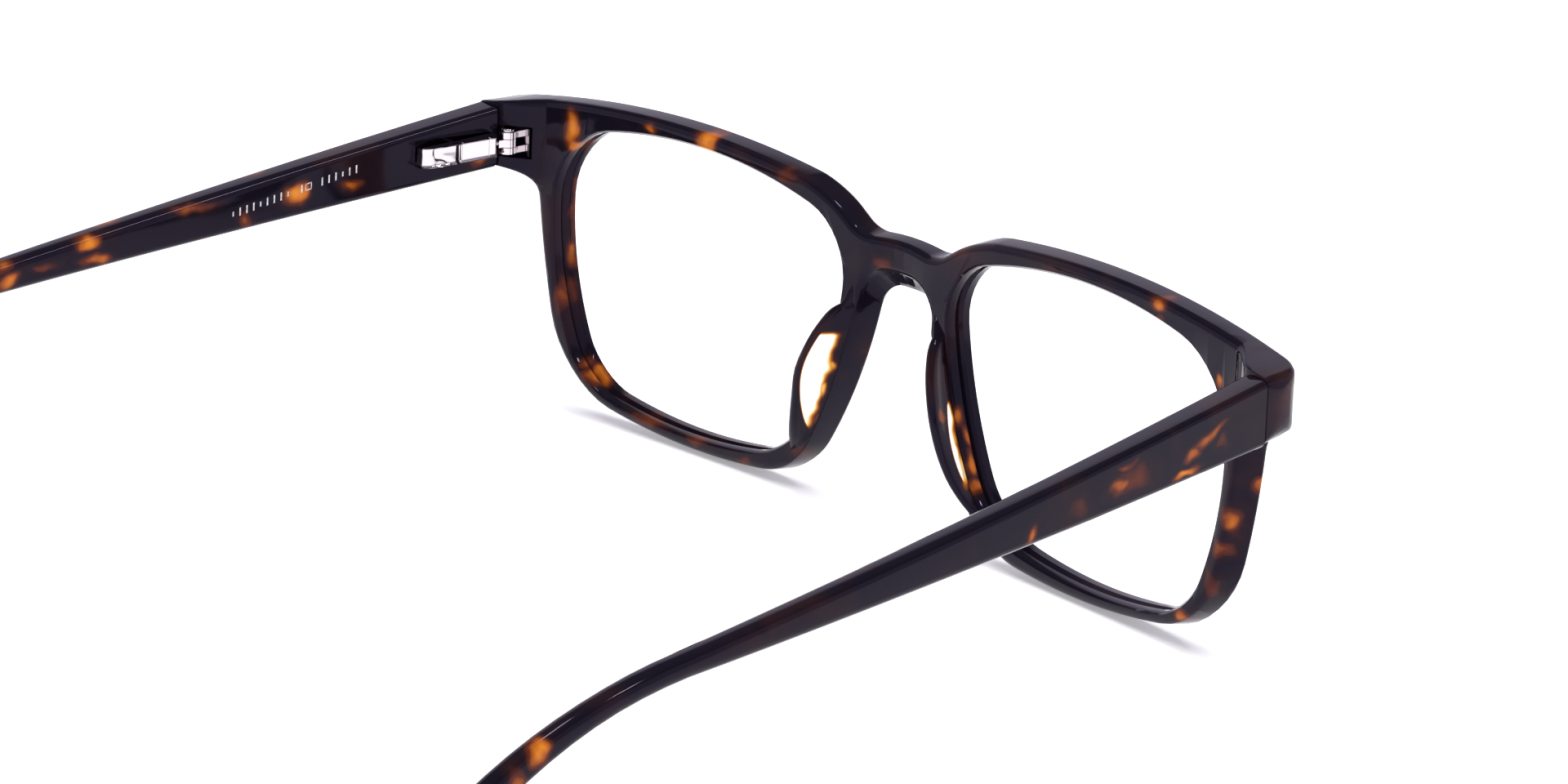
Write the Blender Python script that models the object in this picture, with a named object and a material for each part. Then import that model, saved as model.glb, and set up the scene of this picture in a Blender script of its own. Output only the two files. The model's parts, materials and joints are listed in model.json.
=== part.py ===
"""Full-rim acetate eyeglasses frame with spring hinges, standing open on its lower rims and temple tips.

Axes: +Z up, the front faces -Y, the temples run towards +Y, +X is the wearer's left.
Lengths below are in millimetres and become metres where a mesh is made. They are measured from the
table under the middle of the front's rear face, and one empty moves the whole frame to its origin.
"""

import math

import bmesh
import bpy
from mathutils import Vector

MM = 0.001
FOOTPRINT_Y = 70.16  # from the rear face at the bridge to the middle of the footprint, where the origin is

# Front
FRONT_T = 4.0  # thickness of the acetate sheet
FRONT_R = 650.0  # face-form curve, seen from above
EDGE_FRONT = 0.8  # rounding of the outline's front edge
EDGE_REAR = 1.0  # rounding of the outline's rear edge
HALF_W = 75.2  # outer side of the end piece
BUTT_Y = 7.0  # plane where each temple meets its end piece
RAMP = (65.0, 72.0)  # the rear face rises to the butt plane between these
RAMP_Z = (28.4, 31.4)  # below this height the rear face does not rise
NOSE_R = 4.4  # plan radius of the end piece's outer front corner
DISH = 0.6  # hollow in the back of the bridge

# Loops run clockwise in the (x, z) plane. Each row is a corner's x and z, the bulge to the left of the
# edge that follows it, and the length that rounding the corner takes from its two edges.
OPENING = ((9.5, 36.0, 4.3, 7.2), (63.0, 36.9, 3.1, 8.4), (57.9, 4.7, 2.4, 5.2), (19.2, 4.5, 2.3, 6.3))
CHAMFER = 0.35  # rear edge of each opening
CHAMFER_FRONT = 0.15
GROOVE_Y = -2.1
GROOVE_HALF = 0.65
GROOVE_DEEP = 0.85

# The left half of the outline, from the bridge's valley round to its underside
OUTLINE_FRONT = (
    (7.0, 36.6, 0.0, 2.0),
    (14.0, 41.1, 2.7, 4.5),
    (HALF_W, 39.4, 0.0, 1.9),
    (HALF_W, 31.8, 0.0, 2.6),
    (68.6, 31.4, 1.0, 4.0),
    (62.7, 3.8, 2.57, 9.2),
    (18.2, 1.6, 1.7, 6.0),
    (5.2, 30.4, -0.2, 3.5),
)
OUTLINE_REAR = (
    (7.0, 36.4, 0.0, 2.0),
    (14.0, 40.8, 2.7, 4.5),
    (HALF_W, 39.4, 0.0, 0.9),
    (HALF_W, 31.4, 0.0, 0.9),
    (67.5, 31.3, 0.7, 4.0),
    (61.9, 3.9, 2.4, 8.9),
    (18.2, 1.9, 1.7, 6.0),
    (6.0, 32.5, -0.2, 3.5),
)
BRIDGE_CROWN = 0.6  # rise of the bridge's top between its valleys
OUTLINE_STEPS = (3, 20, 2, 2, 12, 18, 12, 7)
CROWN_STEPS = 5
OPENING_STEPS = (17, 12, 15, 12)
CORNER_STEPS = 8

# Nose pads: height, crest x, crest distance behind the rear face
PAD_ROWS = (
    (27.4, 8.6, 0.5),
    (26.4, 9.4, 1.8),
    (25.0, 10.1, 2.8),
    (22.2, 11.3, 3.9),
    (18.2, 12.8, 4.5),
    (14.2, 13.8, 4.0),
    (10.7, 15.0, 3.1),
    (8.2, 16.2, 2.0),
    (6.4, 17.2, 0.9),
    (5.7, 17.8, 0.4),
)
PAD_EDGE = 0.75  # rounding of the crest
PAD_GAP = 0.06
PAD_ROW_STEPS = 3
PAD_CREST_STEPS = 8

# Hinge
PIN = (69.75, 6.4, 34.9)
SPLAY = math.radians(7.0)  # each open temple leans outwards this much
KNUCKLE_R = 1.15
KNUCKLE_MID = 0.52  # half height of the sprung knuckle
KNUCKLE_TOP = 1.45  # half height of the whole barrel
KNUCKLE_GAP = 0.08
SCREW_R = 0.5
BORE_R = 0.57
LEAF_X = (67.5, 71.05)
LEAF_Y = (4.05, 4.6)
LEAF_Z = (33.05, 36.75)
POCKET_FLOOR = 4.0
HOUSING_V = (2.1, 13.1)  # along the temple from the pin
HOUSING_W = (-0.9, 2.1)  # across, outwards from the pin
HOUSING_HALF = 1.32
HOUSING_DROP = 0.12
HOUSING_STEP = 7.7  # the thicker front part of the housing ends here
STEM_R = 0.36
STEM_HEAD = (9.5, 10.1)
STEM_HEAD_R = 0.62
STOP_V = (2.2, 2.9)
SPRING_V = (3.0, 9.4)
SPRING_COIL = 0.53
SPRING_WIRE = 0.12
SPRING_TURNS = 8
HOUSING_BORE = 0.72
HOUSING_BORE_END = 10.6

# Temples
TEMPLE_Y0 = 7.15
TOP_Z = (39.35, -0.1557)  # height at the butt plane and slope to the rear
BOTTOM_Z = (31.15, -0.099)
BEND_Y = 101.0
BEND_R = 68.2
TEMPLE_LENGTH = 145.0  # along the temple from the pin to the tip
THICK = (4.2, 3.2)  # at the hinge and at the bend
BOW = 5.2e-4
TEMPLE_EDGE = (0.8, 1.15)
WIRE_R = 0.6
CHANNEL_R = 0.74


def material(name, colour, metallic=0.0, roughness=0.25, transmission=0.0):
    mat = bpy.data.materials.new(name)
    mat.use_nodes = True
    shader = mat.node_tree.nodes["Principled BSDF"]
    shader.inputs["Base Color"].default_value = (*colour, 1.0)
    shader.inputs["Metallic"].default_value = metallic
    shader.inputs["Roughness"].default_value = roughness
    shader.inputs["Transmission Weight"].default_value = transmission
    mat.diffuse_color = (*colour, 1.0)
    return mat


def mesh_of(name, points, faces, side=1):
    """A mesh data block from millimetre points of the left side, mirrored for side -1."""
    mesh = bpy.data.meshes.new(name)
    mesh.from_pydata([Vector((p[0] * side, p[1], p[2])) * MM for p in points], [], faces)
    bm = bmesh.new()
    bm.from_mesh(mesh)
    bmesh.ops.recalc_face_normals(bm, faces=bm.faces)
    bm.to_mesh(mesh)
    bm.free()
    return mesh


def smooth_shade(obj, angle):
    bm = bmesh.new()
    bm.from_mesh(obj.data)
    for edge in bm.edges:
        edge.smooth = len(edge.link_faces) == 2 and edge.calc_face_angle(0.0) < math.radians(angle)
    for face in bm.faces:
        face.smooth = True
    bm.to_mesh(obj.data)
    bm.free()


def boolean(obj, mesh, operation):
    """Joins or cuts at once, so that the object keeps a plain mesh."""
    tool = bpy.data.objects.new("tool_" + obj.name, mesh)
    cutters.objects.link(tool)
    tool.hide_render = True
    tool.display_type = "WIRE"
    step = obj.modifiers.new("step", "BOOLEAN")
    step.operation = operation
    step.solver = "EXACT"
    step.object = tool
    graph = bpy.context.evaluated_depsgraph_get()
    made = bpy.data.meshes.new_from_object(obj.evaluated_get(graph))
    obj.modifiers.clear()
    obj.data = made


def piece(name, side, mat, shapes, cuts=(), origin=(0, 0, 0), smooth=35.0, mesh=None):
    """A named solid: the shapes joined, less the cuts, with its origin at a millimetre point."""
    if side:
        name = f"{name}_{'left' if side > 0 else 'right'}"
    mesh = mesh or mesh_of(name, *shapes[0], side or 1)
    obj = bpy.data.objects.new(name, mesh)
    parts.objects.link(obj)
    for shape in shapes[1:]:
        boolean(obj, mesh_of("join", *shape, side or 1), "UNION")
    for shape in cuts:
        boolean(obj, mesh_of("cut", *shape, side or 1), "DIFFERENCE")
    obj.data.name = name
    obj.data.materials.clear()
    obj.data.materials.append(mat)
    smooth_shade(obj, smooth)
    place = Vector((origin[0] * (side or 1), origin[1], origin[2])) * MM
    for vert in obj.data.vertices:
        vert.co -= place
    obj.location = place
    return obj


def smoothstep(value, low, high):
    t = min(max((value - low) / (high - low), 0.0), 1.0)
    return t * t * (3.0 - 2.0 * t)


def loft(rings):
    """Points and faces joining rings of equal length, each a list of points."""
    count = len(rings[0])
    points = [p for ring in rings for p in ring]
    faces = []
    for i in range(len(rings) - 1):
        for j in range(count):
            k = (j + 1) % count
            faces.append((i * count + j, i * count + k, (i + 1) * count + k, (i + 1) * count + j))
    faces.append(tuple(range(count)))
    faces.append(tuple((len(rings) - 1) * count + j for j in range(count)))
    return points, faces


def box(x, y, z):
    ring = ((0, 0), (1, 0), (1, 1), (0, 1))
    return loft([[(x[i], y[j], level) for i, j in ring] for level in z])


def circle(radius, steps):
    angles = [math.tau * i / steps for i in range(steps)]
    return [(radius * math.cos(angle), radius * math.sin(angle)) for angle in angles]


def upright(centre, radius, z, steps=28):
    """A cylinder about a vertical axis."""
    return loft([[(centre[0] + a, centre[1] + b, level) for a, b in circle(radius, steps)] for level in z])


def tube(path, radius, steps=8):
    """A round bar along a path of points."""
    path = [Vector(p) for p in path]
    last = len(path) - 1
    normal = None
    rings = []
    for i, point in enumerate(path):
        along = (path[min(i + 1, last)] - path[max(i - 1, 0)]).normalized()
        start = normal or Vector((0.3, 0.2, 1.0))
        normal = (start - along * start.dot(along)).normalized()
        side = along.cross(normal)
        rings.append([tuple(point + normal * a + side * b) for a, b in circle(radius, steps)])
    return loft(rings)


def curved_edge(a, b, bulge, t):
    along = b - a
    left = Vector((-along.y, along.x)).normalized()
    return a + along * t + left * (bulge * 4 * t * (1 - t))


def meeting_point(a, direction_a, b, direction_b):
    gap = b - a
    cross = direction_a.x * direction_b.y - direction_a.y * direction_b.x
    return a + direction_a * ((gap.x * direction_b.y - gap.y * direction_b.x) / cross)


def rounded_loop(rows, steps):
    """A closed loop of 2-D points with curved edges and rounded corners."""
    count = len(rows)
    corners = [Vector(row[:2]) for row in rows]
    edges = []
    for i, (_, _, bulge, _) in enumerate(rows):
        edges.append((corners[i], corners[(i + 1) % count], bulge))
    points = []
    for i, (a, b, bulge) in enumerate(edges):
        after = edges[(i + 1) % count]
        cut = rows[(i + 1) % count][3]
        start_t = min(rows[i][3] / (b - a).length, 0.49)
        end_t = 1 - min(cut / (b - a).length, 0.49)
        next_t = min(cut / (after[1] - after[0]).length, 0.49)
        for k in range(steps[i] + 1):
            points.append(curved_edge(a, b, bulge, start_t + (end_t - start_t) * k / steps[i]))
        start = points[-1]
        end = curved_edge(*after, next_t)
        way_out = curved_edge(a, b, bulge, end_t + 1e-4) - start
        way_in = curved_edge(*after, next_t - 1e-4) - end
        apex = meeting_point(start, way_out, end, way_in)
        p1 = start.lerp(apex, 0.5523)
        p2 = end.lerp(apex, 0.5523)
        for k in range(1, CORNER_STEPS):
            t = k / CORNER_STEPS
            u = 1 - t
            points.append(start * u**3 + p1 * (3 * u * u * t) + p2 * (3 * u * t * t) + end * t**3)
    return points


def outline_loop(half):
    """The front's whole outline from its left half."""
    rows = list(half)
    for i in reversed(range(len(half))):
        x, z, _, cut = half[i]
        rows.append((-x, z, half[i - 1][2] if i else BRIDGE_CROWN, cut))
    steps = OUTLINE_STEPS + tuple(reversed(OUTLINE_STEPS[:-1])) + (CROWN_STEPS,)
    return rounded_loop(rows, steps)


def outward_normals(loop):
    """Unit normals to the left of travel at each point of a closed loop."""
    out = []
    for i, point in enumerate(loop):
        along = loop[(i + 1) % len(loop)] - loop[i - 1]
        out.append(Vector((-along.y, along.x)).normalized())
    return out


def offset_loop(loop, distance):
    """The loop moved outwards, by one distance or by one for each point."""
    moves = distance if isinstance(distance, list) else [distance] * len(loop)
    return [p + n * d for p, n, d in zip(loop, outward_normals(loop), moves)]


def face_form(x):
    return x * x / (2 * FRONT_R)


def front_face_y(x):
    """The front surface, which turns back round the outer corner of each end piece."""
    reach = min(max(abs(x) - (HALF_W - NOSE_R), 0.0), NOSE_R)
    return face_form(x) - FRONT_T + NOSE_R - math.sqrt(NOSE_R**2 - reach**2)


def rear_face_y(x, z):
    """The rear surface: hollow behind the bridge, and rising to the butt plane at each end piece."""
    rise = smoothstep(abs(x), *RAMP) * smoothstep(z, *RAMP_Z)
    dish = DISH * math.exp(-((x / 4.5) ** 2)) * smoothstep(z, 26.0, 32.0)
    return face_form(x) + (BUTT_Y - face_form(x)) * rise - dish


def rear_edge(x, z):
    """The rear rounding, which fades out where a temple butts and where a nose pad stands."""
    at_butt = smoothstep(abs(x), 68.0, 71.5) * smoothstep(z, 29.0, 31.0)
    at_pad = (1 - smoothstep(abs(x), 17.0, 21.0)) * (1 - smoothstep(z, 26.5, 29.5))
    return EDGE_REAR - (EDGE_REAR - 0.12) * max(at_butt, at_pad)


def bisect(bm, point, normal):
    geom = bm.verts[:] + bm.edges[:] + bm.faces[:]
    bmesh.ops.bisect_plane(bm, geom=geom, dist=1e-7, plane_co=Vector(point) * MM, plane_no=normal)


def front_blank():
    """The milled sheet before its lens openings: rounded edges, face form, bridge hollow and end pieces."""
    front = outline_loop(OUTLINE_FRONT)
    rear = outline_loop(OUTLINE_REAR)
    rings = []
    for step in range(4):
        angle = math.radians(30 * step)
        ring = offset_loop(front, -EDGE_FRONT * (1 - math.sin(angle)))
        rings.append([(p.x, -FRONT_T + EDGE_FRONT * (1 - math.cos(angle)), p.y) for p in ring])
    radii = [rear_edge(p.x, p.y) for p in rear]
    for step in range(3, -1, -1):
        angle = math.radians(30 * step)
        ring = offset_loop(rear, [-r * (1 - math.sin(angle)) for r in radii])
        rings.append([(p.x, -r * (1 - math.cos(angle)), p.y) for p, r in zip(ring, radii)])
    bm = bmesh.new()
    bm.from_mesh(mesh_of("blank", *loft(rings)))
    for side in (-1, 1):
        for x in (60.0, 63.5, 65.5, 66.8, 68.0, 69.2, 70.4, 71.4, 72.2, 73.2, 74.0, 74.7, 75.2):
            bisect(bm, (side * x, 0, 0), (1, 0, 0))
    for x in (-9.0, -7.0, -5.0, -3.0, -1.0, 1.0, 3.0, 5.0, 7.0, 9.0):
        bisect(bm, (x, 0, 0), (1, 0, 0))
    for z in (28.4, 29.4, 30.4, 31.4):
        bisect(bm, (0, 0, z), (0, 0, 1))
    for vert in bm.verts:
        x, y, z = vert.co / MM
        base = front_face_y(x) + y + FRONT_T if y < -FRONT_T / 2 else rear_face_y(x, z) + y
        vert.co.y = base * MM
    bmesh.ops.triangulate(bm, faces=[f for f in bm.faces if len(f.verts) > 4])
    mesh = bpy.data.meshes.new("blank")
    bm.to_mesh(mesh)
    bm.free()
    return mesh


def opening_cutter():
    """The left lens opening with its chamfers and lens groove, as a solid that passes through the front."""
    loop = rounded_loop(OPENING, OPENING_STEPS)
    steps = (
        (-7.0, CHAMFER_FRONT),
        (-FRONT_T, CHAMFER_FRONT),
        (-FRONT_T + CHAMFER_FRONT, 0.0),
        (GROOVE_Y - GROOVE_HALF, 0.0),
        (GROOVE_Y, GROOVE_DEEP),
        (GROOVE_Y + GROOVE_HALF, 0.0),
        (-CHAMFER, 0.0),
        (0.0, CHAMFER),
        (2.5, CHAMFER),
    )
    rings = []
    for y, out in steps:
        rings.append([(p.x, y + face_form(p.x), p.y) for p in offset_loop(loop, out)])
    return loft(rings)


def crossing(loop, z, low, high):
    """Where a loop crosses a height, between two x limits."""
    for i, a in enumerate(loop):
        b = loop[(i + 1) % len(loop)]
        if (a.y - z) * (b.y - z) <= 0 and a.y != b.y:
            x = a.x + (b.x - a.x) * (z - a.y) / (b.y - a.y)
            if low < x < high:
                return x
    return None


def smooth_rows(rows, steps):
    """More rows between the given ones, on a smooth curve through all of them."""
    out = []
    for i in range(len(rows) - 1):
        a, b, c, d = (Vector(rows[min(max(j, 0), len(rows) - 1)]) for j in (i - 1, i, i + 1, i + 2))
        for k in range(steps):
            t = k / steps
            bend = (a * 2 - b * 5 + c * 4 - d) * t + (b * 3 - a - c * 3 + d) * t * t
            out.append(b + ((c - a) + bend) * (t / 2))
    return out + [Vector(rows[-1])]


def bent_line(a, b, bulge, steps):
    """Points strictly between two points, on a shallow curve."""
    return [curved_edge(a, b, bulge, k / steps) for k in range(1, steps)]


def nose_pad():
    """A fin on the rear face between the nose side of the rim and the lens opening."""
    outline = outline_loop(OUTLINE_REAR)
    opening = rounded_loop(OPENING, OPENING_STEPS)
    rings = []
    for z, crest_x, crest_y in smooth_rows(PAD_ROWS, PAD_ROW_STEPS):
        nose = (crossing(outline, z, 3.0, 20.0) or 17.5) + 0.15
        lens = (crossing(opening, z, 8.0, 22.0) or 18.0) - CHAMFER - 0.15
        lens = max(lens, nose + 1.6)
        foot = Vector((nose, face_form(nose) + PAD_GAP))
        heel = Vector((lens, face_form(lens) + PAD_GAP))
        r = min(PAD_EDGE, crest_y * 0.45)
        top = Vector((crest_x, foot.y + crest_y - r))
        crest = []
        for k in range(PAD_CREST_STEPS + 1):
            angle = math.radians(180 - 175 * k / PAD_CREST_STEPS)
            crest.append(top + Vector((math.cos(angle), math.sin(angle))) * r)
        ring = [foot] + bent_line(foot, crest[0], -0.12, 3) + crest
        ring += bent_line(crest[-1], heel, -0.1, 3) + [heel, foot.lerp(heel, 0.5)]
        rings.append([(p.x, p.y, z) for p in ring])
    return loft(rings)


def hinge_point(v, w, z):
    """A point from its distance along the open temple, across it outwards, and above the pin's middle."""
    return (
        PIN[0] + v * math.sin(SPLAY) + w * math.cos(SPLAY),
        PIN[1] + v * math.cos(SPLAY) - w * math.sin(SPLAY),
        PIN[2] + z,
    )


def hinge_block(v, w, z):
    ring = ((0, 0), (1, 0), (1, 1), (0, 1))
    return loft([[hinge_point(v[i], w[j], level) for i, j in ring] for level in z])


def hinge_bar(v, radius, steps=18, reach=0.0):
    return tube([hinge_point(v[0] - reach, 0, 0), hinge_point(v[1] + reach, 0, 0)], radius, steps)


def hinge_leaf():
    gap = KNUCKLE_MID + KNUCKLE_GAP
    shapes = [box(LEAF_X, LEAF_Y, LEAF_Z)]
    for low, high in ((-KNUCKLE_TOP, -gap), (gap, KNUCKLE_TOP)):
        z = (PIN[2] + low, PIN[2] + high)
        across, along = (PIN[0] - 0.8, PIN[0] + 0.8), (LEAF_Y[0] + 0.2, PIN[1])
        shapes.append(box(across, along, (z[0] + 0.02, z[1] - 0.02)))
        shapes.append(upright(PIN, KNUCKLE_R, z))
    return shapes, [upright(PIN, BORE_R, (PIN[2] - 3, PIN[2] + 3), 20)]


def hinge_slider():
    shapes = [
        upright(PIN, KNUCKLE_R, (PIN[2] - KNUCKLE_MID, PIN[2] + KNUCKLE_MID)),
        hinge_block((0, 1.7), (-0.7, 0.7), (-KNUCKLE_MID + 0.04, KNUCKLE_MID - 0.04)),
        hinge_bar((1.2, STEM_HEAD[1] - 0.1), STEM_R),
        hinge_bar(STEM_HEAD, STEM_HEAD_R),
    ]
    return shapes, [upright(PIN, BORE_R, (PIN[2] - 3, PIN[2] + 3), 20)]


def hinge_screw():
    low = PIN[2] - KNUCKLE_TOP + 0.1
    top = PIN[2] + KNUCKLE_TOP + 0.07
    head = loft([
        [(PIN[0] + a, PIN[1] + b, z) for a, b in circle(r, 28)]
        for z, r in ((top, 0.85), (top + 0.22, 0.85), (top + 0.33, 0.76), (top + 0.38, 0.6))
    ])
    slot = box((PIN[0] - 1.5, PIN[0] + 1.5), (PIN[1] - 0.12, PIN[1] + 0.12), (top + 0.2, top + 1))
    return [head, upright(PIN, SCREW_R, (low, top + 0.1), 20)], [slot]


def hinge_housing():
    outline = (
        (HOUSING_V[0], HOUSING_W[1]),
        (HOUSING_V[1], HOUSING_W[1]),
        (HOUSING_V[1], 0.1),
        (HOUSING_V[1] - 0.12, -0.25),
        (HOUSING_V[1] - 0.45, -0.55),
        (HOUSING_V[1] - 1.1, -0.76),
        (HOUSING_V[1] - 1.6, -0.81),
        (HOUSING_STEP + 0.3, HOUSING_W[0] + 0.06),
        (HOUSING_STEP, HOUSING_W[0]),
        (HOUSING_V[0] + 0.3, HOUSING_W[0]),
        (HOUSING_V[0] + 0.1, HOUSING_W[0] + 0.1),
        (HOUSING_V[0], HOUSING_W[0] + 0.35),
    )
    loop = [Vector(p) for p in outline]
    rings = []
    for z, inset in ((-1.0, 0.46), (-0.95, 0.22), (-0.86, 0.07), (-0.72, 0.0),
                     (0.72, 0.0), (0.86, 0.07), (0.95, 0.22), (1.0, 0.46)):
        ring = offset_loop(loop, inset)
        height = z * HOUSING_HALF - HOUSING_DROP
        rings.append([hinge_point(p.x, min(p.y, HOUSING_W[1]), height) for p in ring])
    cuts = [
        hinge_bar((HOUSING_V[0] - 1, HOUSING_BORE_END), HOUSING_BORE, 22),
        hinge_block((3.25, 3.4), (-3.0, HOUSING_W[0] + 0.1), (-3, 3)),
        hinge_block((7.35, 7.47), (-3.0, HOUSING_W[0] + 0.1), (-3, 3)),
    ]
    return [loft(rings)], cuts


def hinge_spring():
    path = []
    count = SPRING_TURNS * 10
    for i in range(count + 1):
        angle = math.tau * i / 10
        v = SPRING_V[0] + SPRING_WIRE + (SPRING_V[1] - SPRING_V[0] - 2 * SPRING_WIRE) * i / count
        path.append(hinge_point(v, SPRING_COIL * math.cos(angle), SPRING_COIL * math.sin(angle)))
    return [tube(path, SPRING_WIRE, 6)], []


def outer_x(y):
    s = y - BUTT_Y
    return HALF_W + math.tan(SPLAY) * s - BOW * s * s


def thickness(y):
    t = min(max((y - BUTT_Y) / (BEND_Y - BUTT_Y), 0.0), 1.3)
    return THICK[0] + (THICK[1] - THICK[0]) * t


def straight_station(y):
    """Centre, half height and tilt of the temple's section before its bend."""
    top = TOP_Z[0] + TOP_Z[1] * (y - BUTT_Y)
    bottom = BOTTOM_Z[0] + BOTTOM_Z[1] * (y - BUTT_Y)
    return y, (top + bottom) / 2, (top - bottom) / 2, TEMPLE_SLOPE * smoothstep(y, 60.0, BEND_Y)


def bend_station(length):
    """The same at a distance round the bend."""
    angle = TEMPLE_SLOPE + length / BEND_R
    _, z, half, _ = straight_station(BEND_Y)
    y = BEND_Y + BEND_R * (math.sin(angle) - math.sin(TEMPLE_SLOPE))
    z -= BEND_R * (math.cos(TEMPLE_SLOPE) - math.cos(angle))
    return y, z, half + 0.75 * smoothstep(length, 8.0, 42.0), angle


def temple_ring(station, scale=1.0):
    y, z, half, tilt = station
    wide = thickness(y) / 2
    t = smoothstep(y, 10.0, 75.0)
    r = (TEMPLE_EDGE[0] + (TEMPLE_EDGE[1] - TEMPLE_EDGE[0]) * t) * scale
    a, b = wide * scale - r, half * scale - r
    ring = []
    for corner, (sa, sb) in enumerate(((1, 1), (-1, 1), (-1, -1), (1, -1))):
        for k in range(4):
            angle = math.radians(90 * corner + 30 * k)
            u = sa * a + r * math.cos(angle)
            v = sb * b + r * math.sin(angle)
            ring.append((outer_x(y) - wide + u, y + v * math.sin(tilt), z + v * math.cos(tilt)))
    return ring


def temple_body():
    depths = (TEMPLE_Y0, 12, 18, 26, 34, 42, 50, 58, 66, 74, 82, 89, 95, BEND_Y)
    stations = [straight_station(y) for y in depths]
    rings = [temple_ring(s) for s in stations]
    tip = 3.4
    steps = 13
    for k in range(1, steps + 1):
        rings.append(temple_ring(bend_station((BEND_LENGTH - tip) * k / steps)))
    for angle in (25, 45, 62, 76):
        a = math.radians(angle)
        rings.append(temple_ring(bend_station(BEND_LENGTH - tip * (1 - math.sin(a))), math.cos(a)))
    z = (-HOUSING_HALF - HOUSING_DROP - 0.1, HOUSING_HALF - HOUSING_DROP + 0.1)
    pocket = hinge_block((HOUSING_V[0] - 0.15, HOUSING_V[1] + 0.15), (0.5, HOUSING_W[1] + 0.1), z)
    return [loft(rings)], [pocket, tube(wire_path(HOUSING_V[1] - 0.6, BEND_LENGTH - 5.0), CHANNEL_R)]


def wire_path(first, last):
    """From behind the housing to the middle of the temple, and along it to near the tip."""
    t = (first - 14.0) / 3.0
    path = [hinge_point(first, 2.6 + 0.8 * t, -0.35 * t), hinge_point(17.0, 3.4, -0.35)]
    stations = [straight_station(y) for y in (29, 38, 47, 56, 65, 74, 83, 92)]
    stations += [bend_station(last * k / 8) for k in range(9)]
    for y, z, _, _ in stations:
        path.append((outer_x(y) - thickness(y) / 2, y, z))
    return path


def spring_stop():
    return [hinge_bar(STOP_V, HOUSING_BORE - 0.05, 22)], [hinge_bar(STOP_V, STEM_R + 0.08, 18, 1.0)]


TEMPLE_SLOPE = math.atan(-(TOP_Z[1] + BOTTOM_Z[1]) / 2)
BEND_LENGTH = TEMPLE_LENGTH - (BEND_Y - PIN[1]) / math.cos(TEMPLE_SLOPE)

for old in list(bpy.data.objects):
    bpy.data.objects.remove(old, do_unlink=True)

parts = bpy.data.collections.new("eyeglasses_frame")
cutters = bpy.data.collections.new("cutters")
cutters.hide_render = True
bpy.context.scene.collection.children.link(parts)
bpy.context.scene.collection.children.link(cutters)

front_acetate = material("front_acetate", (0.05, 0.025, 0.015))
temple_acetate = material("temple_acetate", (0.06, 0.03, 0.02))
pad_acetate = material("pad_acetate", (0.75, 0.6, 0.4), transmission=0.5)
chrome = material("chrome", (0.8, 0.8, 0.82), metallic=1.0, roughness=0.12)
spring_steel = material("spring_steel", (0.5, 0.5, 0.52), metallic=1.0, roughness=0.3)
wire_steel = material("wire_steel", (0.6, 0.58, 0.52), metallic=1.0, roughness=0.3)

pocket_height = (LEAF_Z[0] - 0.3, LEAF_Z[1] + 0.3)
leaf_pocket = box((LEAF_X[0] - 0.3, LEAF_X[1] + 0.2), (POCKET_FLOOR, 12.0), pocket_height)
front = piece("front_frame", 0, front_acetate, (), (), mesh=front_blank())
for side in (-1, 1):
    for shape in (opening_cutter(), leaf_pocket):
        boolean(front, mesh_of("cut", *shape, side), "DIFFERENCE")
front.data.name = "front_frame"
smooth_shade(front, 35.0)

for side in (1, -1):
    piece("nose_pad", side, pad_acetate, [nose_pad()], smooth=50.0)
    piece("hinge_leaf", side, chrome, *hinge_leaf(), origin=PIN)
    piece("hinge_screw", side, chrome, *hinge_screw(), origin=PIN)
    piece("hinge_slider", side, chrome, *hinge_slider(), origin=PIN)
    piece("hinge_spring", side, spring_steel, *hinge_spring(), origin=PIN, smooth=60.0)
    piece("spring_stop", side, spring_steel, *spring_stop(), origin=PIN)
    piece("hinge_housing", side, chrome, *hinge_housing(), origin=PIN)
    piece("temple", side, temple_acetate, *temple_body(), origin=PIN)
    piece("core_wire", side, wire_steel, [tube(wire_path(15.2, BEND_LENGTH - 6.5), WIRE_R)], origin=PIN)

whole = bpy.data.objects.new("eyeglasses_frame_whole", None)
whole.location = (0.0, -FOOTPRINT_Y * MM, 0.0)
for obj in list(parts.objects):
    obj.parent = whole
parts.objects.link(whole)
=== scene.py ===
"""Looks for the eyeglasses frame: tortoiseshell acetate, chromed spring hinges, pale studio floor."""
import json
import math

import bmesh
import bpy
from mathutils import Matrix, Vector
from mathutils.bvhtree import BVHTree


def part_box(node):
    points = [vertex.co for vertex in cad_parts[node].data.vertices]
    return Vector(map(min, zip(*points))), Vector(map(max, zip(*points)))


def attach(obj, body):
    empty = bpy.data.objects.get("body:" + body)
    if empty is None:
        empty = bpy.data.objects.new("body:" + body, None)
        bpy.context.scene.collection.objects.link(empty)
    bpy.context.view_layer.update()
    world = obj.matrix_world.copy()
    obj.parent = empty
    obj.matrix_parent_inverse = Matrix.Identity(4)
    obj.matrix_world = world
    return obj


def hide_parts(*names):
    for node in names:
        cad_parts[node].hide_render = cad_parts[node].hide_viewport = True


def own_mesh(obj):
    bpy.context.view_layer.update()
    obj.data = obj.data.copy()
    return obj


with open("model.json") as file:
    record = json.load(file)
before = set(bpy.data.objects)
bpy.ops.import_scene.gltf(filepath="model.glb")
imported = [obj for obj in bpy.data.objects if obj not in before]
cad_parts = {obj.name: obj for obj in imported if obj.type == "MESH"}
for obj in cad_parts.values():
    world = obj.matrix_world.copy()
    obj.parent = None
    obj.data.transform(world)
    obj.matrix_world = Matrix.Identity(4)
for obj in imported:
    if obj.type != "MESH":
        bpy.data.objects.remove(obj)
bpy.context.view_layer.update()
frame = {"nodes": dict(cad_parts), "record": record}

MM = 0.001
nodes = frame["nodes"]
scene = bpy.context.scene


# ---------------------------------------------------------------- material helpers

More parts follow.
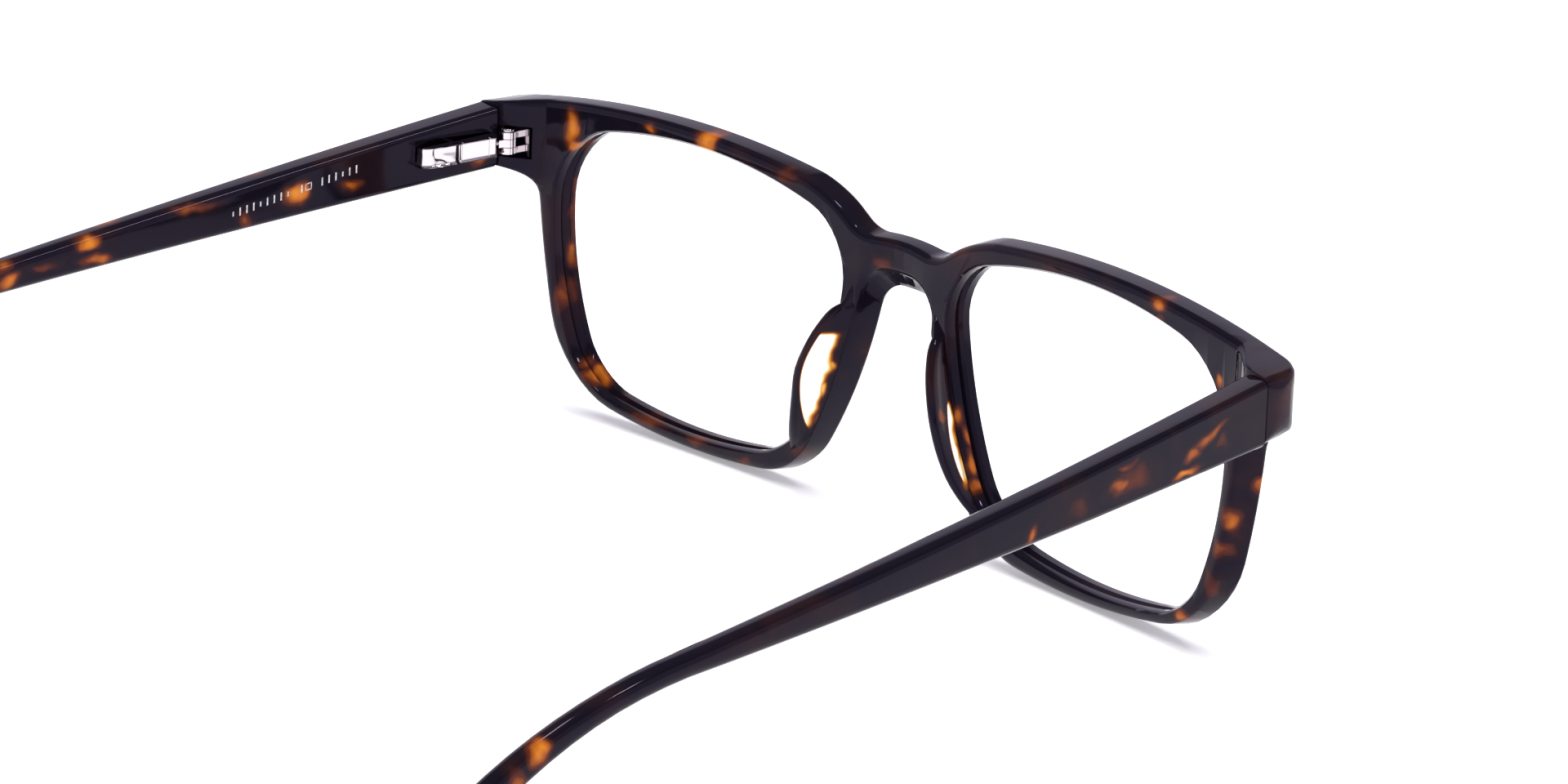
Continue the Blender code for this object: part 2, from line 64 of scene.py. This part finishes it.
class Tree:
    """A short way to write a node tree."""

    def __init__(self, name):
        self.mat = bpy.data.materials.new(name)
        self.mat.use_nodes = True
        self.tree = self.mat.node_tree
        self.shader = self.tree.nodes["Principled BSDF"]

    def node(self, kind, **settings):
        made = self.tree.nodes.new(kind)
        for key, value in settings.items():
            setattr(made, key, value)
        return made

    def link(self, out, into):
        self.tree.links.new(out, into)

    def set(self, **values):
        for key, value in values.items():
            self.shader.inputs[key.replace("_", " ")].default_value = value

    def math(self, operation, a, b=None, clamp=False):
        made = self.node("ShaderNodeMath", operation=operation, use_clamp=clamp)
        for i, value in enumerate((a, b)):
            if value is None:
                continue
            if isinstance(value, (int, float)):
                made.inputs[i].default_value = value
            else:
                self.link(value, made.inputs[i])
        return made.outputs[0]

    def vector(self, operation, a, b):
        made = self.node("ShaderNodeVectorMath", operation=operation)
        for i, value in enumerate((a, b)):
            if isinstance(value, (tuple, list)):
                made.inputs[i].default_value = value
            else:
                self.link(value, made.inputs[i])
        return made.outputs["Value" if operation in ("LENGTH", "DISTANCE") else "Vector"]

    def noise(self, place, scale, detail=2.0, roughness=0.5, distortion=0.0):
        made = self.node("ShaderNodeTexNoise")
        made.inputs["Scale"].default_value = scale
        made.inputs["Detail"].default_value = detail
        made.inputs["Roughness"].default_value = roughness
        made.inputs["Distortion"].default_value = distortion
        self.link(place, made.inputs["Vector"])
        return made

    def remap(self, value, low, high, to_low=0.0, to_high=1.0):
        made = self.node("ShaderNodeMapRange", interpolation_type="SMOOTHSTEP")
        self.link(value, made.inputs[0])
        for i, number in enumerate((low, high, to_low, to_high)):
            made.inputs[1 + i].default_value = number
        return made.outputs[0]

    def ramp(self, value, stops):
        made = self.node("ShaderNodeValToRGB")
        elements = made.color_ramp.elements
        while len(elements) < len(stops):
            elements.new(0.5)
        for element, (at, colour) in zip(elements, stops):
            element.position = at
            element.color = (*colour, 1.0)
        self.link(value, made.inputs[0])
        return made.outputs[0]


TORTOISE = (
    (0.0, (0.0058, 0.0044, 0.0088)),
    (0.28, (0.016, 0.007, 0.008)),
    (0.5, (0.10, 0.022, 0.008)),
    (0.72, (0.43, 0.115, 0.011)),
    (1.0, (0.78, 0.29, 0.028)),
)


def spots_mask(t, place, spots, outer=1.55, inner=0.05, axis="Y_AXIS"):
    """The strongest of several soft blobs.

    Each has a centre and radii in millimetres, a strength, and sometimes a tilt in degrees about the axis.
    A blob is at full strength inside inner times its radii, and has faded out at outer times them.
    """
    total = None
    for x, y, z, rx, ry, rz, strength, *tilt in spots:
        away = t.vector("SUBTRACT", place, (x * MM, y * MM, z * MM))
        if tilt:
            turn = t.node("ShaderNodeVectorRotate", rotation_type=axis)
            turn.inputs["Angle"].default_value = math.radians(tilt[0])
            t.link(away, turn.inputs["Vector"])
            away = turn.outputs[0]
        away = t.vector("MULTIPLY", away, (1 / (rx * MM), 1 / (ry * MM), 1 / (rz * MM)))
        mask = t.remap(t.vector("LENGTH", away, (0, 0, 0)), outer, inner, 0.0, strength)
        total = mask if total is None else t.math("MAXIMUM", total, mask)
    return total


def warped(t, coords, seed, scale, reach):
    """The place pushed about by smooth noise, so that blobs get uneven edges, and the seeded place."""
    shifted = t.vector("ADD", coords, (seed, seed * 0.7, -seed))
    wobble = t.noise(shifted, scale, 1.0, 0.4)
    offset = t.vector("SUBTRACT", wobble.outputs["Color"], (0.5, 0.5, 0.5))
    offset = t.vector("MULTIPLY", offset, (reach * MM, reach * MM, reach * MM))
    return t.vector("ADD", coords, offset), shifted


def acetate(name, spots, seed, axis):
    """Polished tortoiseshell: near-black with red-brown clouds, and amber islands at the given spots."""
    t = Tree(name)
    coords = t.node("ShaderNodeTexCoord").outputs["Object"]
    place, shifted = warped(t, coords, seed, 300.0, 2.4)
    mask = spots_mask(t, place, spots, axis=axis)
    cloud = t.noise(shifted, 75.0, 2.0, 0.5, 0.6).outputs["Fac"]
    cloud = t.remap(cloud, 0.52, 0.76, 0.0, 0.34)
    mask = t.math("MAXIMUM", mask, cloud)
    grain = t.noise(shifted, 620.0, 2.0).outputs["Fac"]
    mask = t.math("MULTIPLY", mask, t.remap(grain, 0.2, 0.8, 0.9, 1.04), clamp=True)
    t.link(t.ramp(mask, TORTOISE), t.shader.inputs["Base Color"])
    polish = t.noise(shifted, 35.0, 2.0).outputs["Fac"]
    t.link(t.remap(polish, 0.3, 0.7, 0.05, 0.08), t.shader.inputs["Roughness"])
    bump = t.node("ShaderNodeBump")
    bump.inputs["Strength"].default_value = 0.05
    bump.inputs["Distance"].default_value = 0.0004
    t.link(t.noise(shifted, 90.0, 1.0).outputs["Fac"], bump.inputs["Height"])
    t.link(bump.outputs[0], t.shader.inputs["Normal"])
    t.set(IOR=1.48, Specular_IOR_Level=0.15, Specular_Tint=(0.78, 0.66, 1.0, 1.0))
    return t.mat


def pad_acetate(name, clear_and_painted_glow, spots, seed):
    """The pads: the same sheet, which runs clear in a patch on each fin. The patch runs from the sheet's
    amber to a painted white, and its light end glows: painted light for the bright floor seen through the
    clear sheet.

    The patch is given in millimetres: the height where its rear edge stands furthest back, how far back that
    is, how fast the edge falls away, the depth where it fades out, its top and its bottom.
    """
    t = Tree(name)
    coords = t.node("ShaderNodeTexCoord").outputs["Object"]
    place, shifted = warped(t, coords, seed, 300.0, 2.2)
    straight, uneven = t.node("ShaderNodeSeparateXYZ"), t.node("ShaderNodeSeparateXYZ")
    t.link(coords, straight.inputs[0])
    t.link(place, uneven.inputs[0])
    height = straight.outputs["Z"]
    middle, back, bend, foot, top, bottom = clear_and_painted_glow
    from_middle = t.math("SUBTRACT", height, middle * MM)
    drop = t.math("MULTIPLY", t.math("MULTIPLY", from_middle, from_middle), bend)
    below_edge = t.math("SUBTRACT", back * MM, t.math("ADD", straight.outputs["Y"], drop))
    mask = t.remap(below_edge, -0.15 * MM, 0.25 * MM)
    mask = t.math("MULTIPLY", mask, t.remap(uneven.outputs["Y"], (foot - 1.3) * MM, (foot + 0.9) * MM))
    mask = t.math("MULTIPLY", mask, t.remap(height, (top + 0.8) * MM, (top - 0.4) * MM))
    mask = t.math("MULTIPLY", mask, t.remap(height, (bottom - 1.0) * MM, (bottom + 1.0) * MM))
    mask = t.math("MAXIMUM", mask, spots_mask(t, place, spots, 1.4, 0.2))
    cloud = t.remap(t.noise(shifted, 120.0, 1.5).outputs["Fac"], 0.5, 0.75, 0.0, 0.15)
    mask = t.math("MAXIMUM", mask, cloud)
    # Near black, red-brown, the clear sheet's amber, then near white: the white end is painted light, the
    # floor seen through the clear sheet
    colour = t.ramp(mask, (
        (0.0, (0.0065, 0.0048, 0.009)),
        (0.3, (0.03, 0.009, 0.006)),
        (0.5, (0.26, 0.06, 0.007)),
        (0.66, (0.72, 0.33, 0.03)),
        (0.78, (0.95, 0.75, 0.35)),
        (0.88, (0.95, 0.9, 0.96)),
    ))
    t.link(colour, t.shader.inputs["Base Color"])
    # Painted glow: the light end of the patch emits light, though the pad is no lamp
    t.link(colour, t.shader.inputs["Emission Color"])
    t.link(t.remap(mask, 0.7, 0.95, 0.0, 0.2), t.shader.inputs["Emission Strength"])
    polish = t.noise(shifted, 60.0, 1.0).outputs["Fac"]
    t.link(t.remap(polish, 0.3, 0.7, 0.045, 0.075), t.shader.inputs["Roughness"])
    t.set(IOR=1.48, Specular_IOR_Level=0.16, Specular_Tint=(0.8, 0.7, 1.0, 1.0))
    return t.mat


METAL_GRAIN = 500.0  # how fine the metal's unevenness is
METAL_BUMP = 0.03
WAVE_SCALE = 250.0  # the pressed rear end of a hinge housing is a little wavy
WAVE_DEPTH = 0.85  # in millimetres


def metal(name, colour, roughness, wavy_from=None):
    """Plated or drawn metal with a little unevenness in its polish, and a waviness behind a given depth."""
    t = Tree(name)
    coords = t.node("ShaderNodeTexCoord").outputs["Object"]
    fine = t.noise(coords, METAL_GRAIN, 3.0)
    uneven = t.remap(fine.outputs["Fac"], 0.3, 0.7, roughness * 0.7, roughness * 1.4)
    t.link(uneven, t.shader.inputs["Roughness"])
    shade = t.ramp(t.noise(coords, METAL_GRAIN * 0.4, 2.0).outputs["Fac"], (
        (0.3, tuple(c * 0.93 for c in colour)),
        (0.7, colour),
    ))
    t.link(shade, t.shader.inputs["Base Color"])
    bump = t.node("ShaderNodeBump")
    bump.inputs["Strength"].default_value = METAL_BUMP
    bump.inputs["Distance"].default_value = 0.0002
    t.link(fine.outputs["Fac"], bump.inputs["Height"])
    if wavy_from is not None:
        split = t.node("ShaderNodeSeparateXYZ")
        t.link(coords, split.inputs[0])
        wave = t.noise(t.vector("MULTIPLY", coords, (1.0, 0.8, 1.6)), WAVE_SCALE, 0.5).outputs["Fac"]
        wave = t.math("MULTIPLY", wave, t.remap(split.outputs["Y"], wavy_from * MM, (wavy_from + 0.6) * MM))
        wavy = t.node("ShaderNodeBump")
        wavy.inputs["Strength"].default_value = 1.0
        wavy.inputs["Distance"].default_value = WAVE_DEPTH * MM
        t.link(wave, wavy.inputs["Height"])
        t.link(wavy.outputs[0], bump.inputs["Normal"])
    t.link(bump.outputs[0], t.shader.inputs["Normal"])
    t.set(Metallic=1.0)
    return t.mat


# ---------------------------------------------------------------- where the amber islands lie, in millimetres

FRONT_SPOTS = (
    (60.9, -67, 38.2, 1.7, 4, 3.0, 0.9),
    (60.3, -67, 36.0, 1.6, 4, 1.6, 0.8),
    (46.6, -68.5, 41.6, 1.6, 3, 0.9, 0.72),
    (36.0, -69, 41.6, 2.2, 5, 3.4, 0.86),
    (21, -70, 40.8, 4.0, 3, 1.4, 0.44),
    (64, -70.6, 27.0, 0.8, 1.0, 9, 0.54),
    (63.6, -70.4, 20.5, 1.0, 1.2, 3.4, 0.66),
    (62.5, -68, 15.5, 1.6, 3, 4.0, 0.55),
    (60.6, -69, 34.6, 1.2, 3, 1.3, 0.66),
    (56.8, -69.6, 5.5, 2.3, 3, 1.7, 0.8),
    (58.4, -68.9, 6.9, 1.4, 2, 1.2, 0.6),
    (45.0, -69, 2.6, 4.5, 4, 1.2, 0.52),
    (36.0, -69, 2.2, 3.5, 4, 1.2, 0.48),
    (27, -69.5, 1.6, 2.5, 3, 1.0, 0.46),
    (13.0, -70, 33.0, 1.3, 3, 2.2, 0.46),
    (3.0, -70.3, 33.8, 1.8, 2.4, 1.5, 0.5),
    (17.0, -71, 6.0, 2.0, 3, 2.6, 0.48),
    (-50.0, -68.5, 42.0, 2.0, 3, 1.3, 0.78),
    (-50.5, -68, 39.6, 1.4, 2.4, 1.8, 0.52),
    (-62.8, -67.5, 35.4, 0.8, 2, 1.4, 0.8),
    (-67.6, -70.5, 23.5, 1.4, 1.8, 1.9, 0.76),
    (-65.4, -68, 19.2, 1.5, 2.4, 2.0, 0.78),
    (-66.6, -68, 18.0, 2.6, 2.4, 3.4, 0.5),
    (-64.2, -67.9, 14.8, 1.9, 2.0, 1.6, 0.6),
    (-62.6, -67.9, 9.8, 1.5, 2.0, 3.6, 0.5),
    (-57.6, -68, 4.4, 1.5, 2.2, 1.6, 0.74),
    (-12, -70, 38.8, 6, 3, 3.4, 0.36),
    (-30, -70, 40.6, 6, 3, 2.6, 0.34),
    (30, -69.5, 38.6, 6, 3, 2.4, 0.38),
    (65.5, -68, 24, 2.6, 3, 7, 0.36),
    (48, -74, 41.5, 5, 2.5, 2.5, 0.5),
    (24, -74, 2.5, 6, 2.5, 1.8, 0.6),
    (-40, -74, 3.0, 5, 2.5, 2.0, 0.7),
    (-20, -74, 39.5, 4, 2.5, 2.5, 0.72),
    (10, -74, 22.0, 2.5, 2.5, 4.0, 0.6),
    (68, -72, 36, 3.0, 3.0, 2.5, 0.5),
    (-12.9, -70.6, 17.6, 1.6, 1.0, 1.7, 0.72),
    (-14.0, -71.2, 15.2, 1.2, 0.9, 2.6, 0.66),
    (-15.0, -70.6, 12.2, 1.8, 1.1, 2.2, 0.8),
    (-16.3, -70.6, 9.6, 1.6, 1.1, 2.0, 0.66),
    (-70, -73, 36, 2.5, 2.0, 2.5, 0.66),
)

LEFT_TEMPLE_SPOTS = (
    (71.8, -60.2, 32.6, 2.5, 1.9, 1.3, 0.74),
    (73.6, -41.5, 31.6, 2.5, 2.6, 1.1, 0.66),
    (74.4, -33.2, 31.3, 2.5, 1.9, 2.0, 0.92),
    (75.3, -25.6, 28.6, 2.5, 1.3, 1.7, 0.6),
    (76.1, -17.6, 31.4, 2.5, 4.2, 1.2, 0.6),
    (77.3, -2.2, 29.1, 2.5, 2.0, 1.3, 0.9),
    (77.1, -3.4, 26.6, 2.5, 2.9, 1.2, 0.74),
    (78.0, 9.6, 25.6, 2.5, 2.0, 1.5, 0.84),
    (78.0, 10.6, 28.0, 2.5, 2.4, 1.5, 0.62),
    (78.0, 4.6, 26.8, 2.5, 3.0, 0.8, 0.55),
    (78.6, 24, 25.0, 3, 5.5, 1.8, 0.86),
    (79.4, 36, 21.0, 3, 4.0, 2.4, 0.66),
    (80.0, 50, 17.5, 3, 4.0, 2.6, 0.82),
    (81.0, 63, 10.0, 3, 3.4, 2.8, 0.7),
    (75.8, -50, 35.6, 1.6, 4.0, 1.6, 0.7),
    (78.2, -30, 32.6, 1.4, 5.0, 2.0, 0.78),
    (79.6, -8, 29.5, 1.4, 4.0, 2.2, 0.82),
)

RIGHT_TEMPLE_SPOTS = (
    (-76.4, -52.8, 34.6, 2.5, 4.4, 0.8, 0.66, 20),
    (-76.8, -50.0, 33.3, 2.5, 1.9, 1.0, 0.72, 20),
    (-76.1, -55.4, 33.5, 2.5, 1.8, 1.1, 0.46),
    (-76.9, -48.8, 31.1, 2.5, 2.9, 0.7, 0.86, 6),
    (-77.8, -39.8, 32.0, 2.5, 4.2, 2.2, 0.54),
    (-77.9, -37.6, 31.7, 2.5, 3.4, 1.3, 0.66, 20),
    (-77.8, -38.5, 33.9, 2.5, 2.4, 0.7, 0.56),
    (-79.3, -22.8, 28.4, 2.5, 1.0, 1.5, 0.74),
    (-78.6, -30, 30.4, 2.5, 2.6, 2.0, 0.4),
    (-82.0, 52.3, 17.6, 2.5, 2.0, 2.0, 0.9),
    (-82.2, 55.4, 14.9, 2.5, 1.8, 2.4, 0.66),
    (-82.0, 62.0, 11.2, 2.5, 4.0, 2.2, 0.7),
    (-80.5, 22, 24.2, 2.5, 6.0, 1.6, 0.36),
    (-78.0, 4, 27.5, 1.5, 4.0, 1.8, 0.74),
    (-74.6, -34, 31.5, 1.5, 3.0, 2.0, 0.8),
    (-73.2, -50, 32.0, 1.5, 3.0, 1.5, 0.66),
)

# Each pad's clear patch: the sheet's amber, with a light end painted white and glowing, painted light seen
# through the clear sheet
LEFT_PAD_CLEAR_AND_PAINTED_GLOW = (18.2, -65.9, 42.0, -69.0, 23.1, 9.0)
RIGHT_PAD_CLEAR_AND_PAINTED_GLOW = (14.8, -68.35, 34.0, -69.75, 19.4, 9.4)

LEFT_PAD_SPOTS = (
    (11.0, -69.1, 18.6, 3.0, 0.8, 1.3, 0.66),
    (12.1, -69.2, 15.3, 3.0, 0.9, 1.6, 0.7),
    (13.4, -69.5, 11.2, 3.0, 1.1, 2.2, 0.36),
)

RIGHT_PAD_SPOTS = (
    (-13.9, -69.8, 15.4, 2.5, 0.8, 2.6, 0.7),
    (-15.0, -69.9, 11.4, 2.5, 0.9, 3.2, 0.72),
    (-12.6, -67.6, 18.4, 2.0, 0.8, 1.8, 0.46),
)

MATERIALS = {
    "front_frame": acetate("acetate_front", FRONT_SPOTS, 0.013, "Y_AXIS"),
    "temple_left": acetate("acetate_temple_left", LEFT_TEMPLE_SPOTS, 0.071, "X_AXIS"),
    "temple_right": acetate("acetate_temple_right", RIGHT_TEMPLE_SPOTS, 0.157, "X_AXIS"),
    "nose_pad_left": pad_acetate("acetate_pad_left", LEFT_PAD_CLEAR_AND_PAINTED_GLOW, LEFT_PAD_SPOTS, 0.3),
    "nose_pad_right": pad_acetate("acetate_pad_right", RIGHT_PAD_CLEAR_AND_PAINTED_GLOW, RIGHT_PAD_SPOTS, 0.4),
}
chrome = metal("polished_chrome", (0.68, 0.63, 0.65), 0.08)
housing_chrome = metal("housing_chrome", (0.68, 0.63, 0.65), 0.07, wavy_from=-55.9)
spring_steel = metal("spring_steel", (0.55, 0.54, 0.55), 0.26)
wire_steel = metal("core_wire_steel", (0.72, 0.62, 0.42), 0.3)


def finish_of(name):
    if name in MATERIALS:
        return MATERIALS[name]
    if name.startswith(("hinge_spring", "spring_stop")):
        return spring_steel
    if name.startswith("hinge_housing"):
        return housing_chrome
    return wire_steel if name.startswith("core_wire") else chrome


WELD_DISTANCE = 0.001  # in millimetres: the CAD meshes come with their triangles apart


def polish(obj, sharp=50.0):
    """Smooth shading over the rounded edges, with the broad faces kept flat."""
    mesh = obj.data
    mesh.polygons.foreach_set("use_smooth", [True] * len(mesh.polygons))
    if "custom_normal" in mesh.attributes:
        mesh.attributes.remove(mesh.attributes["custom_normal"])
    weld = obj.modifiers.new("weld", "WELD")
    weld.merge_threshold = WELD_DISTANCE * MM
    split = obj.modifiers.new("sharp_edges", "EDGE_SPLIT")
    split.split_angle = math.radians(sharp)
    split.use_edge_sharp = False
    flatten = obj.modifiers.new("flat_faces", "WEIGHTED_NORMAL")
    flatten.mode = "FACE_AREA_WITH_ANGLE"
    flatten.weight = 60


for name, obj in nodes.items():
    polish(obj)
    for slot in obj.material_slots:
        slot.material = finish_of(name)


# ---------------------------------------------------------------- pieces that stand for CAD nodes

def standing_for(name, new_name, change, sharp=50.0):
    """A copy of a CAD node's mesh with its points changed, standing for the node."""
    bm = bmesh.new()
    bm.from_mesh(nodes[name].data)
    bmesh.ops.remove_doubles(bm, verts=bm.verts, dist=WELD_DISTANCE * MM)
    for vert in bm.verts:
        change(vert)
    mesh = bpy.data.meshes.new(new_name)
    bm.to_mesh(mesh)
    bm.free()
    obj = bpy.data.objects.new(new_name, mesh)
    scene.collection.objects.link(obj)
    obj.data.materials.append(finish_of(name))
    polish(obj, sharp)
    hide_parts(name)
    return obj


PAD_END_RING = 0.05  # the first and last cross-sections lie this near the pad's ends, in millimetres
PAD_GLUE_GAP = 0.14  # points this near the front are the pad's foot
PAD_FOOT_SHIFT = (-0.13, -0.45, 0.0)  # towards the nose, forwards and up, into the front
PAD_TOP_SHIFT = (-0.9, -0.7, 2.6)  # draws the upper end out along the rim
PAD_BOTTOM_SHIFT = (0.5, -0.6, -0.6)


def blended_pad(side):
    """The fin pad with its foot sunk into the front, so that the polished joint shows no gap."""
    outwards = 1 if side == "left" else -1
    front = BVHTree.FromObject(nodes["front_frame"], bpy.context.evaluated_depsgraph_get())
    low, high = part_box(f"nose_pad_{side}")

    def shifted(vert, shift):
        vert.co += Vector((shift[0] * outwards, shift[1], shift[2])) * MM

    def blend(vert):
        if front.find_nearest(vert.co)[3] < PAD_GLUE_GAP * MM:
            shifted(vert, PAD_FOOT_SHIFT)
        if vert.co.z > high.z - PAD_END_RING * MM:
            shifted(vert, PAD_TOP_SHIFT)
        elif vert.co.z < low.z + PAD_END_RING * MM:
            shifted(vert, PAD_BOTTOM_SHIFT)

    obj = standing_for(f"nose_pad_{side}", f"blended_pad_{side}", blend, sharp=70.0)
    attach(obj, "front")


PIN = (69.75, -63.76, 34.9)  # the left hinge's pin, in millimetres
HOUSING_START = 2.1  # the housing's front end, along the temple from the pin
HOUSING_FALL = 0.045  # how fast the housing drops towards its rear end, with the temple's centre line


def temple_line(side):
    """The pin's middle, and the direction along the open temple."""
    outwards = 1 if side == "left" else -1
    joints = frame["record"]["behaviour"]["joints"]
    along = next(joint["axis"] for joint in joints if joint["name"] == f"slide_{side}")
    return Vector((PIN[0] * outwards, PIN[1], PIN[2])) * MM, Vector(along)


def inclined_housing(side):
    """The spring housing, following the temple's centre line down."""
    pin, along = temple_line(side)

    def lower(vert):
        behind = (vert.co - pin).dot(along) - HOUSING_START * MM
        vert.co.z -= HOUSING_FALL * max(behind, 0.0)

    obj = standing_for(f"hinge_housing_{side}", f"inclined_housing_{side}", lower)
    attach(obj, f"temple_{side}")


def shortening_spring(side):
    """The coil spring: a copy of the CAD node's mesh with a mesh of its own, carried by the temple."""
    obj = standing_for(f"hinge_spring_{side}", f"coil_spring_{side}", lambda vert: None)
    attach(obj, f"temple_{side}")
    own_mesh(obj)


for side in ("left", "right"):
    blended_pad(side)
for side in ("left", "right"):
    inclined_housing(side)
    shortening_spring(side)


# ---------------------------------------------------------------- print inside the left temple

PRINT_START = -23.6  # the first mark's depth, in millimetres
PRINT_PITCH = -1.02
PRINT_COUNT = 19
PRINT_GAPS = (9, 12)
PRINT_SQUARE = 11
PRINT_HEIGHT = 1.05
PRINT_STROKE = 0.2
PRINT_LINE = (29.9, -0.2)  # height at the start, and its rise towards the rear
SQUARE_OFFSET = 0.42  # the square's sides lie this far from its middle
SQUARE_LONG = 0.48
SQUARE_THIN = 0.06
INSIDE_TEMPLE = 40  # a depth across from which the temple's inner face is looked for
INK_SUNK = 0.05
INK_PROUD = 0.02


def print_marks():
    """Plain strokes and a small open square: they stand for a printed size and say nothing."""
    white = Tree("temple_print")
    coords = white.node("ShaderNodeTexCoord").outputs["Object"]
    worn = white.remap(white.noise(coords, 2600.0, 2.0).outputs["Fac"], 0.3, 0.6, 0.4, 0.66)
    ink = white.node("ShaderNodeCombineColor")
    for socket in ink.inputs[:3]:
        white.link(worn, socket)
    white.link(ink.outputs[0], white.shader.inputs["Base Color"])
    white.set(Roughness=0.5)
    inner = BVHTree.FromObject(nodes["temple_left"], bpy.context.evaluated_depsgraph_get())
    bm = bmesh.new()

    def stroke(along, up, half_along, half_up):
        corners = []
        for da, du in ((-1, -1), (1, -1), (1, 1), (-1, 1)):
            y = PRINT_START + along + da * half_along
            z = PRINT_LINE[0] + (y - PRINT_START) * PRINT_LINE[1] + up + du * half_up
            hit = inner.ray_cast(Vector((INSIDE_TEMPLE, y, z)) * MM, Vector((1, 0, 0)))[0]
            corners.append(hit)
        base = [bm.verts.new(c + Vector((INK_SUNK, 0, 0)) * MM) for c in corners]
        top = [bm.verts.new(c - Vector((INK_PROUD, 0, 0)) * MM) for c in corners]
        bm.faces.new(top)
        bm.faces.new(base[::-1])
        for i in range(4):
            bm.faces.new((base[i], base[(i + 1) % 4], top[(i + 1) % 4], top[i]))

    for place in range(PRINT_COUNT):
        along = place * PRINT_PITCH
        if place in PRINT_GAPS:
            continue
        if place == PRINT_SQUARE:
            for step in (-SQUARE_OFFSET, SQUARE_OFFSET):
                stroke(along + step, 0, SQUARE_THIN, SQUARE_LONG)
                stroke(along, step, SQUARE_LONG, SQUARE_THIN)
            continue
        tall = PRINT_HEIGHT if place % 4 else PRINT_HEIGHT * 0.6
        stroke(along, 0, PRINT_STROKE / 2, tall / 2)
    bmesh.ops.recalc_face_normals(bm, faces=bm.faces)
    mesh = bpy.data.meshes.new("print")
    bm.to_mesh(mesh)
    bm.free()
    obj = bpy.data.objects.new("temple_print_left", mesh)
    scene.collection.objects.link(obj)
    obj.data.materials.append(white.mat)
    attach(obj, "temple_left")


print_marks()


# ---------------------------------------------------------------- studio

FLOOR_SIZE = 5.0
FLOOR_DROP = 0.00012  # keeps the floor just clear of the rims


def floor():
    """A pale paper floor, lit a little from within so that it stays near white."""
    bpy.ops.mesh.primitive_plane_add(size=FLOOR_SIZE, location=(0, 0, -FLOOR_DROP))
    obj = bpy.context.object
    obj.name = "studio_floor"
    t = Tree("pale_floor")
    coords = t.node("ShaderNodeTexCoord").outputs["Object"]
    paper = t.noise(coords, 900.0, 4.0).outputs["Fac"]
    t.link(t.ramp(paper, ((0.3, (0.9, 0.9, 0.9)), (0.7, (0.92, 0.92, 0.92)))), t.shader.inputs["Base Color"])
    t.set(Roughness=0.9, Specular_IOR_Level=0.0, Emission_Strength=0.3)
    t.shader.inputs["Emission Color"].default_value = (1.0, 1.0, 1.0, 1.0)
    obj.data.materials.append(t.mat)


floor()


def area(name, place, target, size, power, glossy=True):
    """A round lamp at a place, turned towards a target."""
    data = bpy.data.lights.new(name, "AREA")
    data.shape = "DISK"
    data.size = size
    data.energy = power
    obj = bpy.data.objects.new(name, data)
    scene.collection.objects.link(obj)
    obj.location = place
    obj.rotation_euler = (Vector(target) - Vector(place)).to_track_quat("-Z", "Y").to_euler()
    obj.visible_glossy = glossy


area("overhead_fill", (0.0, 0.0, 1.5), (0, 0, 0), 1.8, 26.0, glossy=False)
area("glint", (0.12, -0.05, 1.3), (0, 0, 0.02), 0.16, 2.2)
area("temple_glint", (-0.68, -0.38, 1.1), (-0.08, 0.04, 0.02), 0.12, 1.6)

SKY = (  # colours by how steeply one looks up, from 0 at the horizon to 1 straight up
    (0.0, (0.82, 0.78, 0.92)),
    (0.5, (0.855, 0.792, 0.972)),
    (0.62, (0.095, 0.088, 0.108)),
    (1.0, (0.32, 0.3, 0.35)),
)


def studio():
    """Pale lilac walls that fade into a dark ceiling, which polished faces reflect."""
    world = bpy.data.worlds.new("studio")
    scene.world = world
    world.use_nodes = True
    tree = world.node_tree
    coords = tree.nodes.new("ShaderNodeTexCoord")
    split = tree.nodes.new("ShaderNodeSeparateXYZ")
    ramp = tree.nodes.new("ShaderNodeValToRGB")
    elements = ramp.color_ramp.elements
    while len(elements) < len(SKY):
        elements.new(0.5)
    for element, (at, colour) in zip(elements, SKY):
        element.position = at
        element.color = (*colour, 1.0)
    tree.links.new(coords.outputs["Generated"], split.inputs[0])
    tree.links.new(split.outputs["Z"], ramp.inputs[0])
    tree.links.new(ramp.outputs[0], tree.nodes["Background"].inputs[0])


studio()


# ---------------------------------------------------------------- camera

CAMERA_PLACE = (-0.80679, 0.64762, 0.3449)
CAMERA_TURN = (130.954, -16.888, 2.271)  # compass bearing, pitch and roll, in degrees
CAMERA_LENS = 206.3


def camera():
    """From behind and above the wearer's right, a long lens a little over a metre away."""
    data = bpy.data.cameras.new("camera")
    data.sensor_width = 36.0
    data.lens = CAMERA_LENS
    data.clip_start = 0.05
    data.clip_end = 20.0
    obj = bpy.data.objects.new("camera", data)
    scene.collection.objects.link(obj)
    yaw, pitch, roll = (math.radians(a) for a in CAMERA_TURN)
    ahead = Vector((math.cos(pitch) * math.sin(yaw), math.cos(pitch) * math.cos(yaw), math.sin(pitch)))
    right = ahead.cross(Vector((0, 0, 1))).normalized()
    up = right.cross(ahead)
    right, up = (
        right * math.cos(roll) + up * math.sin(roll),
        up * math.cos(roll) - right * math.sin(roll),
    )
    turn = Matrix((right, up, -ahead)).transposed()
    obj.matrix_world = Matrix.Translation(CAMERA_PLACE) @ turn.to_4x4()
    scene.camera = obj


camera()
scene.view_settings.view_transform = "Standard"
scene.view_settings.look = "None"
